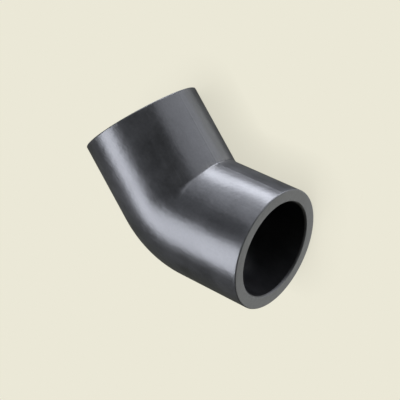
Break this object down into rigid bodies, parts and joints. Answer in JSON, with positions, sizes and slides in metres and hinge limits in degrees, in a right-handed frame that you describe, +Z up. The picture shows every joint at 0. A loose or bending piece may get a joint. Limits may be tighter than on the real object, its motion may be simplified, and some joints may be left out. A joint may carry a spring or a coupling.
{
  "type": "pipe elbow",
  "caption": "Thick-walled 45 degree plastic pipe elbow with a solvent-weld socket at each end, smooth round the heel and creased at the throat.",
  "frame": {"origin": "centre of the bounding box's base: the elbow lies on its side, on the lowest line of each hub, with both socket axes in the level plane z = 21.4 mm", "axes": "+X from socket A to socket B, along the longest extent; +Y towards the throat, the inside of the bend, with the heel at -Y; +Z up, along the shortest extent. The plane x = 0 is the mitre plane, and the elbow is the same on both sides of it. Each socket axis leans 22.5 degrees from the X axis towards +Y"},
  "size_m": [0.0836, 0.0534, 0.0428],
  "materials": {
    "grey_pvc": "charcoal grey injection-moulded PVC, glossy outside and inside, slightly duller on the rims"
  },
  "bodies": {
    "root": {"elbow_body": "grey_pvc"}
  },
  "joints": []
}
